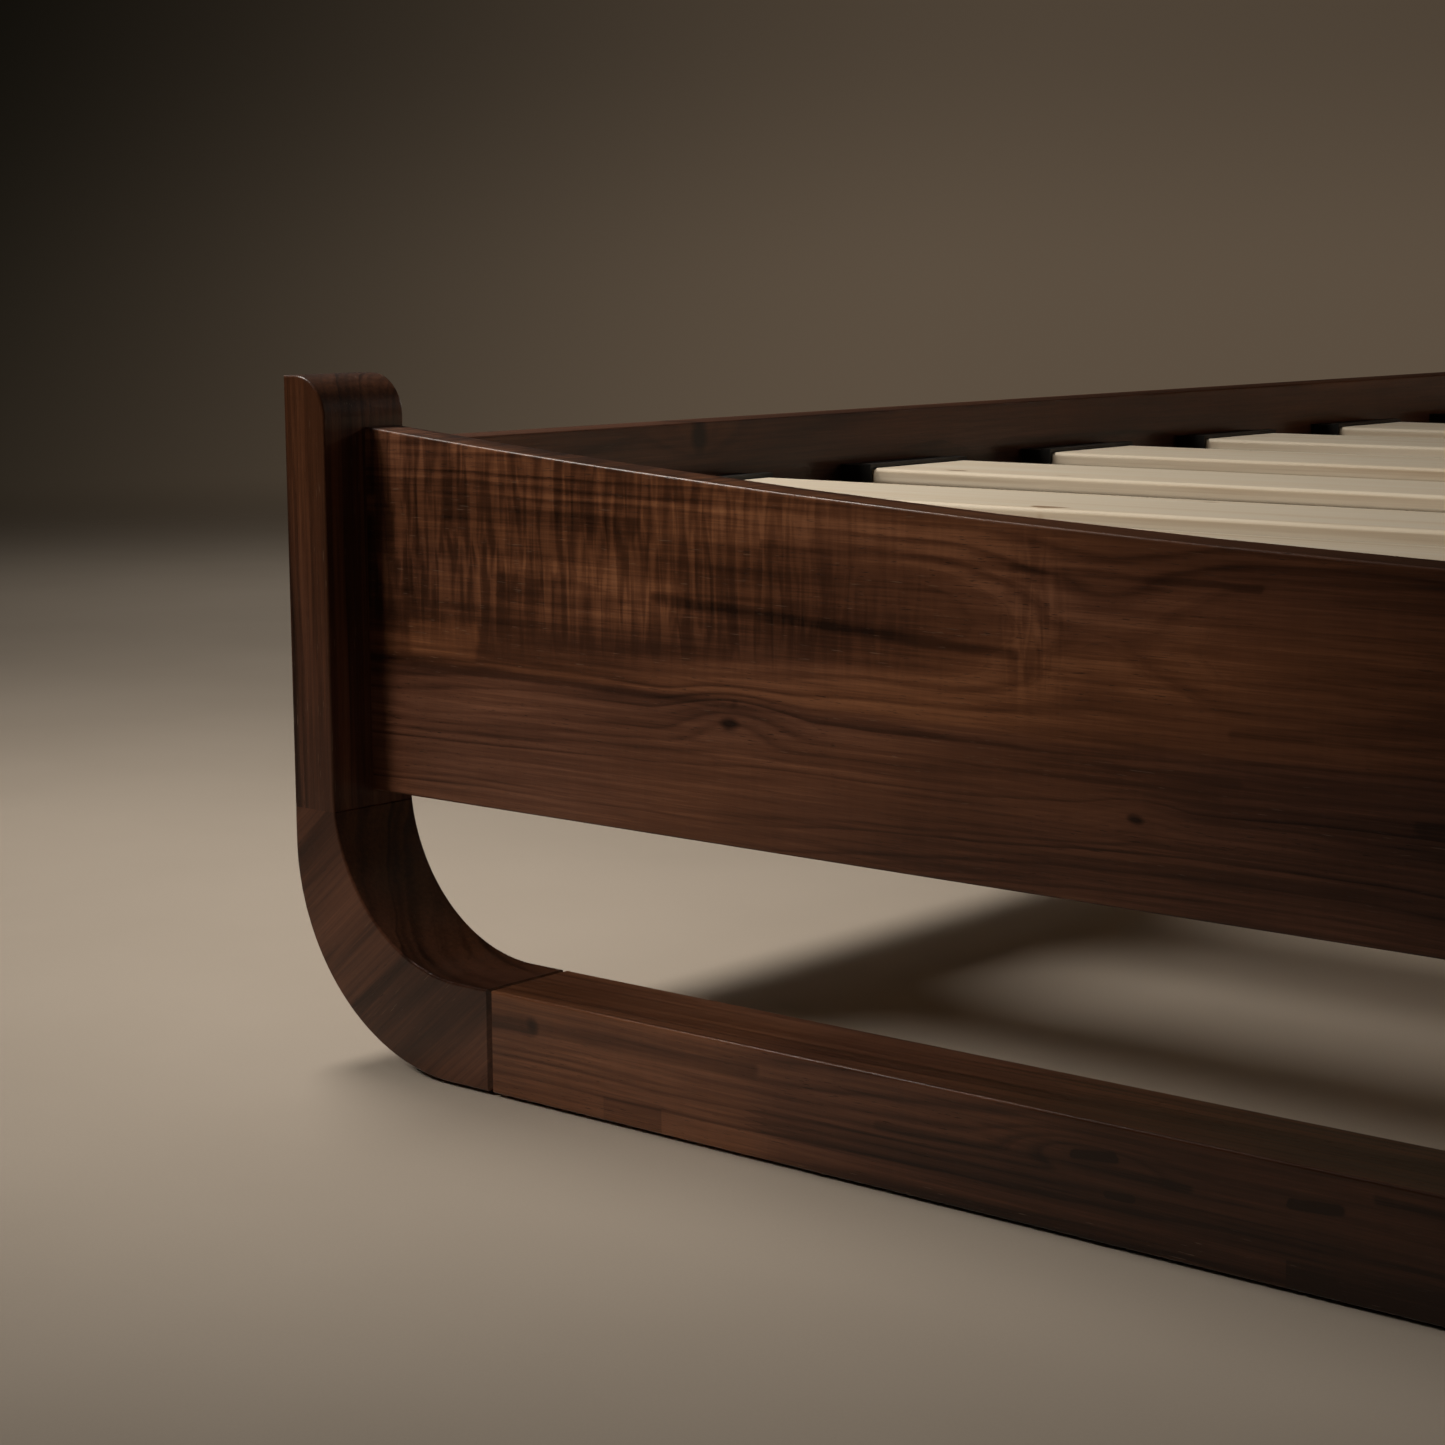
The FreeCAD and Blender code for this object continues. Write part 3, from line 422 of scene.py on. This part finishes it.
BLOCK_ENDS = (-0.605, -0.57, -0.509, -0.257, 0.06, 0.31, 0.52)    # in the bottom layer
BOTTOM_LAYER_TOP = 0.0135           # the runner is glued up from three layers
MIDDLE_LAYER_TOP = 0.0252
LAYER_BLUR = 0.0002
SEAM_WIDTH = 0.0007
FINGER_JOINT = -0.5217              # where the middle layer's two pieces meet
FINGER_HEIGHT = 0.0016
FINGER_SLOPE = -7.5
SIDE_RAIL_KNOT = (-0.812, 0.293)


def rail_marks(tree, board):
    """Curly top left corner, a sap patch under it, a flame, two knots and some dark lines, with a
    painted light patch left of the middle and painted shade towards the right.
    """
    along = split(tree, board)["X"]
    face = face_of(tree, board)
    wavy_along, wavy_across = split(tree, face)[:2]
    curly = times(tree, fade_out(tree, wavy_along, -0.6, -0.4),
                  fade(tree, wavy_across, 0.2, 0.235))
    flame_side = times(tree, spot(tree, board, (-0.393, 0.243), (0.022, 0.05)), 0.7)
    patch = times(tree, fade(tree, wavy_along, -0.756, -0.750),
                  fade_out(tree, wavy_along, -0.708, -0.704),
                  fade(tree, wavy_across, 0.198, 0.203),
                  fade_out(tree, wavy_across, 0.215, 0.221))
    below = fade_out(tree, wavy_across, 0.192, 0.199)
    shade = total(
        tree,
        times(tree, strokes(tree, face, RAIL_LINES), -0.3),
        times(tree, spots(tree, face, RAIL_KNOTS), -0.6),
        times(tree, patch, 0.2),
        times(tree, below, -0.03),
        times(tree, curly, -0.02),
        # Painted light: a lighter patch left of the rail's middle. Painted shade: the rail darkens
        # towards the right and eases off again past the bed's middle.
        times(tree, spot(tree, board, (-0.42, 0.2), (0.25, 0.15)), 0.06),
        fade(tree, along, -0.5, -0.15, -0.04, -0.36),
        fade(tree, along, -0.15, 0.2, 0.0, 0.3))
    return {"Curl": total(tree, times(tree, curly, 0.8), flame_side, 0.05),
            "Swell": spots(tree, board, RAIL_SWELLS),
            "Shade": shade,
            "Gold": total(tree, 0.62, times(tree, patch, 0.4), times(tree, below, -0.34))}


def runner_marks(tree, board):
    """A thin bottom layer in blocks, a finger joint above it, knots, a dark streak and painted
    shade towards the right.
    """
    low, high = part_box("foot_runner")
    along, across = split(tree, board)[:2]
    face = face_of(tree, board, 0.003)
    block = total(tree, *(calc(tree, "GREATER_THAN", along, end) for end in BLOCK_ENDS))
    bottom = fade_out(tree, across, BOTTOM_LAYER_TOP - LAYER_BLUR, BOTTOM_LAYER_TOP + LAYER_BLUR)
    middle = times(tree, fade_out(tree, across, MIDDLE_LAYER_TOP - LAYER_BLUR,
                                  MIDDLE_LAYER_TOP + LAYER_BLUR),
                   fade_out(tree, bottom, 0.0, 1.0))
    fingers = times(tree, calc(tree, "PINGPONG", across, FINGER_HEIGHT), FINGER_SLOPE)
    zigzag = total(tree, along, fingers)
    off_joint = calc(tree, "ABSOLUTE", minus(tree, zigzag, FINGER_JOINT))
    middle_right = times(tree, calc(tree, "GREATER_THAN", zigzag, FINGER_JOINT), middle)
    seam = total(
        tree,
        stroke(tree, board, (low[0], BOTTOM_LAYER_TOP), (high[0], BOTTOM_LAYER_TOP), SEAM_WIDTH,
               0.8),
        times(tree, fade_out(tree, off_joint, 0.0, 0.001), middle, 0.7))
    left = fade_out(tree, along, -0.53, -0.49)
    shade = total(
        tree,
        times(tree, strokes(tree, face, RUNNER_LINES), -0.4),
        times(tree, seam, -0.35),
        # Painted shade: the runner darkens towards its right end and eases off again past the bed's
        # middle.
        fade(tree, along, -0.6, -0.15, -0.05, -0.45),
        fade(tree, along, -0.1, 0.25, 0.0, 0.42),
        times(tree, bottom, total(tree, times(tree, chance(tree, block), 0.2), -0.15)),
        times(tree, middle_right, -0.1),
        times(tree, left, 0.08))
    return {"Shade": shade,
            "Gold": total(tree, 0.3, times(tree, left, 0.22)),
            "Swell": times(tree, spot(tree, board, (-0.345, 0.037), (0.06, 0.012)), 0.006)}


def post_marks(tree, board):
    """Warmer towards the top, and darker towards the top with painted shade."""
    along = split(tree, board)["X"]
    return {"Gold": fade(tree, along, 0.14, 0.3, 0.1, 0.5),
            # Painted shade: the posts darken towards their tops.
            "Shade": fade(tree, along, 0.14, 0.28, -0.02, -0.25)}


def side_rail_marks(tree, board):
    """One dark knot near the foot and a darker tone."""
    knot = spot(tree, board, SIDE_RAIL_KNOT, (0.009, 0.013))
    bulge = spot(tree, board, SIDE_RAIL_KNOT, (0.05, 0.03))
    return {"Shade": total(tree, times(tree, knot, -0.7), -0.14),
            "Swell": times(tree, bulge, 0.008)}


wear("foot_rail", walnut("walnut foot rail", "xzy", 2.0, marks=rail_marks, Heart_Height=0.235,
                         Heart_Depth=-0.98, Ring_Width=0.003, Waves=1.4))
wear("foot_post_left foot_post_right", walnut("walnut foot posts", "zxy", 3.1, marks=post_marks,
                                              Heart_Height=-0.74, Heart_Depth=-1.0))
wear("head_post_left head_post_right", walnut("walnut head posts", "zxy", 4.7, Gold=0.4))
wear("foot_bend_left", walnut("walnut foot bend left", "xzy", 5.3, turn=math.radians(40),
                              Ring_Width=0.014, Waves=2.0, Gold=0.35, Shade=-0.18))
wear("foot_bend_right", walnut("walnut foot bend right", "xzy", 6.9, turn=math.radians(-40),
                               Ring_Width=0.011, Waves=1.6, Gold=0.6))
wear("head_bend_left head_bend_right", walnut("walnut head bends", "xzy", 8.2, Ring_Width=0.011,
                                              Waves=1.6))
wear("foot_runner", walnut("walnut foot runner", "xzy", 9.4, marks=runner_marks,
                           Heart_Height=0.06, Heart_Depth=-1.03, Ring_Width=0.003))
wear("head_runner", walnut("walnut head runner", "xzy", 10.8, Gold=0.6))
wear("head_rail", walnut("walnut head rail", "xzy", 11.5))
for number, seed in ((1, 13.1), (2, 14.9), (3, 16.3)):
    wear("headboard_board_%d" % number,
         walnut("walnut headboard %d" % number, "xzy", seed, Curl=0.15, Heart_Depth=1.0))
wear("side_rail_left side_rail_right", walnut("walnut side rails", "yzx", 17.7,
                                              marks=side_rail_marks, Gold=0.15))


# ------------------------------------------------------------------ slats and fittings
PLIES_PER_METRE = 640.0
PALE_WOOD = [
    (0.2, (0.3, 0.17, 0.09)), (0.36, (0.68, 0.52, 0.35)), (0.5, (0.88, 0.75, 0.57)),
    (0.7, (0.93, 0.84, 0.69))]


def make_slat_wood():
    """Pale layered softwood: straight grain on top, thin plies on the edges."""
    material, tree, shader, place = new_material("slat wood", (0.7, 0.6, 0.45))
    broad = cloud(tree, place, (1.5, 38, 4), 3.0, 0.6)
    fine = cloud(tree, place, (9, 420, 420), 3.0)
    streaks = cloud(tree, place, (2.5, 130, 130), 3.0, 0.6)
    up = split(tree, place)["Z"]
    ply = chance(tree, calc(tree, "FLOOR", times(tree, up, PLIES_PER_METRE)))
    knot_place = vector(tree, "ADD", place, (0.4, 0.2, 0.1))
    knot = fade(tree, cloud(tree, knot_place, (22, 60, 20), 1.0), 0.78, 0.84)
    value = total(tree, times(tree, broad, 0.5), times(tree, fine, 0.2),
                  times(tree, streaks, 0.3), times(tree, centred(tree, ply), 0.14))
    value = minus(tree, value, times(tree, knot, 0.3))
    feed(tree, shader.inputs["Base Color"], ramp(tree, value, PALE_WOOD))
    feed(tree, shader.inputs["Roughness"], fade(tree, fine, 0.2, 0.8, 0.5, 0.68))
    rough_surface(tree, shader, fine, 0.25, 0.0003)
    return material


def make_plain_finish(name, tone, roughness, change, metallic=0.0):
    """A finish with a fine texture, whose tone darkens in patches by the share change."""
    material, tree, shader, place = new_material(name, tone)
    speckle = cloud(tree, place, (900, 900, 900), 2.0)
    smear = cloud(tree, place, (25, 25, 25), 3.0)
    darker = tuple(part * (1 - change) for part in tone)
    feed(tree, shader.inputs["Base Color"], mixed(tree, smear, darker, tone))
    feed(tree, shader.inputs["Roughness"],
         fade(tree, smear, 0.2, 0.8, roughness - 0.06, roughness + 0.08))
    shader.inputs["Metallic"].default_value = metallic
    rough_surface(tree, shader, speckle, 0.3, 0.0002)
    return material


holder_plastic = make_plain_finish("holder plastic", (0.016, 0.015, 0.014), 0.5, 0.3)
pad_felt = make_plain_finish("pad felt", (0.05, 0.035, 0.025), 0.95, 0.5)
black_steel = make_plain_finish("black steel", (0.02, 0.02, 0.021), 0.42, 0.2)
zinc_steel = make_plain_finish("zinc steel", (0.58, 0.57, 0.53), 0.32, 0.25, metallic=1.0)
foot_plastic = make_plain_finish("foot plastic", (0.02, 0.02, 0.02), 0.45, 0.2)
pine = make_plain_finish("frame pine", (0.6, 0.42, 0.24), 0.6, 0.3)
beech = make_plain_finish("dowel beech", (0.58, 0.4, 0.24), 0.6, 0.2)
slat_names = [name for name in nodes if name.startswith("slat_") and name[-1].isdigit()]
wear(" ".join(slat_names), make_slat_wood())
wear("slat_holders_left slat_holders_right", holder_plastic)
wear("foot_floor_pads head_floor_pads", pad_felt)
wear("corner_brackets beam_stirrup_foot beam_stirrup_head", black_steel)
wear("bracket_bolts rail_inserts ledger_screws stirrup_screws leg_inserts", zinc_steel)
wear("levelling_foot_front levelling_foot_rear", foot_plastic)
wear("ledger_left ledger_right centre_beam centre_leg_front centre_leg_rear", pine)
wear("foot_sled_dowels head_sled_dowels leg_dowels headboard_splines", beech)


# ------------------------------------------------------------------ levelling feet
PAD_HEIGHT = 0.008
STUD_SEAT = 0.0005                  # how deep the stud sits in the pad, and its bare neck
STUD_TIP = 0.0015
THREAD_PITCH = 0.00125
THREAD_ROOT = 0.0034                # radius at the bottom of the thread
THREAD_CREST = 0.00395              # radius at its top
STUD_TIP_RADIUS = 0.0026
TURNING_STEPS = 48


def turned(name, outline, base, material):
    """A solid turned from (radius, height) pairs over its base, both ends on the axis."""
    shape = bmesh.new()
    points = [shape.verts.new((base[0] + radius, base[1], base[2] + height))
              for radius, height in outline]
    edges = [shape.edges.new(pair) for pair in zip(points, points[1:])]
    bmesh.ops.spin(shape, geom=points + edges, cent=base, axis=(0.0, 0.0, 1.0),
                   angle=2 * math.pi, steps=TURNING_STEPS, use_merge=True)
    bmesh.ops.remove_doubles(shape, verts=shape.verts, dist=1e-6)
    bmesh.ops.recalc_face_normals(shape, faces=shape.faces)
    mesh = bpy.data.meshes.new(name)
    shape.to_mesh(mesh)
    shape.free()
    mesh.materials.append(material)
    piece = bpy.data.objects.new(name, mesh)
    bpy.context.scene.collection.objects.link(piece)
    return piece


def pad_outline(rim):
    """A flat sole, a rounded rim and a low collar round the stud."""
    return [
        (0.0, 0.0), (rim - 0.003, 0.0), (rim - 0.0008, 0.0007), (rim, 0.002), (rim, 0.0042),
        (rim - 0.0006, 0.0052), (rim - 0.0022, 0.0058), (rim * 0.55, 0.0066),
        (rim * 0.5, 0.0072), (rim * 0.48, PAD_HEIGHT), (0.0, PAD_HEIGHT)]


def stud_outline(top):
    """A stud from inside the pad up to a blunt tip, threaded between them."""
    outline = [(0.0, PAD_HEIGHT - STUD_SEAT), (THREAD_ROOT, PAD_HEIGHT - STUD_SEAT)]
    height = PAD_HEIGHT + STUD_SEAT
    while height < top - STUD_TIP:
        outline += [(THREAD_ROOT, height), (THREAD_CREST, height + THREAD_PITCH * 0.4),
                    (THREAD_CREST, height + THREAD_PITCH * 0.55)]
        height += THREAD_PITCH
    return outline + [(THREAD_ROOT, height), (STUD_TIP_RADIUS, top), (0.0, top)]


def make_levelling_foot(node, body):
    """A moulded pad and a threaded steel stud in the CAD foot's place."""
    low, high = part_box(node)
    base = ((low[0] + high[0]) / 2, (low[1] + high[1]) / 2, low[2])
    rim = (high[0] - low[0]) / 2
    pad = turned(node + "_pad", pad_outline(rim), base, foot_plastic)
    stud = turned(node + "_stud", stud_outline(high[2] - low[2]), base, zinc_steel)
    for piece, slot_name in ((pad, "foot_plastic"), (stud, "zinc_steel")):
        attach(piece, body)
        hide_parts(node)


make_levelling_foot("levelling_foot_front", "front_foot")
make_levelling_foot("levelling_foot_rear", "rear_foot")


# ------------------------------------------------------------------ studio
AMBIENT = 0.12                      # share of the backdrop's brightness that lights the bed
FLOOR_RADIUS = 7.0
FLOOR_SIDES = 96
FLOOR_MIDDLE = (0.25, -0.55, 0.0)   # the floor melts away between two distances from here
FLOOR_FADE = (2.6, 5.0)
FLOOR_TONES = ((0.50, 0.43, 0.355), (0.56, 0.485, 0.405))
GRIT_TONE = (0.35, 0.3, 0.25)
# Painted shade: the first tone darkens the backdrop to the bed's left; the second is its tone
# elsewhere.
BACKDROP_TONES = ((0.005, 0.0045, 0.003), (0.105, 0.077, 0.052))
BACKDROP_TOP_SHADE = 0.28           # painted shade: share by which the backdrop darkens above the horizon
LAMP_COLOUR = (1.0, 0.94, 0.86)
EYE = (0.2633, -2.0173, 0.3793)
LENS = 72.54                        # in millimetres, as is the sensor
SENSOR = 36.0
EYE_TURN = 40.486                   # degrees left of +Y
EYE_DOWN = 8.738                    # degrees below the horizon
EYE_LEAN = -0.34                    # degrees about the line of sight


def make_floor():
    """A wide pale floor whose rim melts into the backdrop."""
    shape = bmesh.new()
    bmesh.ops.create_circle(shape, cap_ends=True, segments=FLOOR_SIDES, radius=FLOOR_RADIUS)
    mesh = bpy.data.meshes.new("studio floor")
    shape.to_mesh(mesh)
    shape.free()
    floor = bpy.data.objects.new("studio_floor", mesh)
    bpy.context.scene.collection.objects.link(floor)
    material, tree, shader, place = new_material("studio floor", (0.55, 0.48, 0.4))
    mottle = cloud(tree, place, (6, 6, 6), 4.0)
    grit = cloud(tree, place, (700, 700, 700), 2.0)
    tone = mixed(tree, mottle, *FLOOR_TONES)
    tone = mixed(tree, fade(tree, grit, 0.3, 0.7, 0.0, 0.06), tone, GRIT_TONE)
    feed(tree, shader.inputs["Base Color"], tone)
    shader.inputs["Roughness"].default_value = 0.75
    shader.inputs["Specular IOR Level"].default_value = 0.2
    reach = vector(tree, "LENGTH", vector(tree, "SUBTRACT", place, FLOOR_MIDDLE))
    clear = add(tree, "BsdfTransparent")
    blend = add(tree, "MixShader", {0: fade(tree, reach, *FLOOR_FADE)})
    tree.links.new(shader.outputs[0], blend.inputs[1])
    tree.links.new(clear.outputs[0], blend.inputs[2])
    tree.links.new(blend.outputs[0], tree.nodes["Material Output"].inputs["Surface"])
    mesh.materials.append(material)


def make_backdrop():
    """A soft grey-brown surround, darker to the bed's left and towards the top with painted shade.
    """
    world = bpy.data.worlds.new("studio backdrop")
    bpy.context.scene.world = world
    world.use_nodes = True
    tree = world.node_tree
    direction = split(tree, add(tree, "TexCoord").outputs["Generated"])
    up = direction["Z"]
    side = minus(tree, direction["X"], times(tree, up, 0.35))
    tone = mixed(tree, fade(tree, side, -0.87, -0.58), *BACKDROP_TONES)
    shaded = mixed(tree, BACKDROP_TOP_SHADE, tone, (0.0, 0.0, 0.0))
    background = tree.nodes["Background"]
    feed(tree, background.inputs["Color"], mixed(tree, fade(tree, up, -0.01, 0.09), tone, shaded))
    seen = add(tree, "LightPath").outputs["Is Camera Ray"]
    feed(tree, background.inputs["Strength"], fade(tree, seen, 0.0, 1.0, AMBIENT, 1.0))


def soft_light(name, place, target, size, power, spread, sheen=True):
    """A round warm soft box that faces a point.

    Its beam opens by the spread, in degrees. Without sheen it lights the bed but leaves no
    reflection in the lacquer.
    """
    light = bpy.data.lights.new(name, "AREA")
    light.shape = "DISK"
    light.size = size
    light.energy = power
    light.color = LAMP_COLOUR
    light.spread = math.radians(spread)
    lamp = bpy.data.objects.new(name, light)
    bpy.context.scene.collection.objects.link(lamp)
    lamp.location = place
    lamp.rotation_euler = (Vector(target) - Vector(place)).to_track_quat("-Z", "Y").to_euler()
    lamp.visible_glossy = sheen


def make_camera():
    """A long lens, low in front of the foot, that looks at the foot's left corner."""
    lens = bpy.data.cameras.new("studio camera")
    lens.lens = LENS
    lens.sensor_width = SENSOR
    lens.clip_start = 0.05
    lens.clip_end = 60.0
    camera = bpy.data.objects.new("studio_camera", lens)
    bpy.context.scene.collection.objects.link(camera)
    turn = Matrix.Rotation(math.radians(EYE_TURN), 4, "Z")
    tilt = Matrix.Rotation(math.radians(90.0 - EYE_DOWN), 4, "X")
    lean = Matrix.Rotation(math.radians(EYE_LEAN), 4, "Z")
    camera.matrix_world = Matrix.Translation(EYE) @ turn @ tilt @ lean
    bpy.context.scene.camera = camera


make_floor()
make_backdrop()
soft_light("overhead soft box", (-1.45, -0.83, 1.42), (-1.15, -0.82, 0.0),
           size=0.5, power=4.2, spread=100.0)
soft_light("edge soft box", (-1.55, -1.42, 1.45), (-0.6, -1.08, 0.15),
           size=0.2, power=0.35, spread=90.0)
soft_light("far left soft box", (-2.3, 0.5, 1.5), (-2.2, 0.35, 0.0),
           size=0.8, power=2.6, spread=120.0, sheen=False)
soft_light("left soft box", (-1.25, -1.95, 1.0), (-0.58, -0.98, 0.26),
           size=0.4, power=1.25, spread=58.0, sheen=False)
soft_light("right foot soft box", (1.5, -2.4, 1.0), (0.85, -1.06, 0.2),
           size=0.4, power=2.2, spread=46.0, sheen=False)
soft_light("headboard soft box", (0.9, -0.2, 1.9), (0.05, 1.03, 0.65),
           size=0.4, power=5.0, spread=52.0, sheen=False)
soft_light("back soft box", (0.6, 3.2, 1.15), (0.0, 1.1, 0.5),
           size=1.0, power=12.0, spread=90.0)
soft_light("right soft box", (3.0, 0.1, 0.36), (0.8, 0.0, 0.25),
           size=0.5, power=3.0, spread=100.0, sheen=False)
make_camera()
bpy.context.scene.view_settings.view_transform = "Standard"
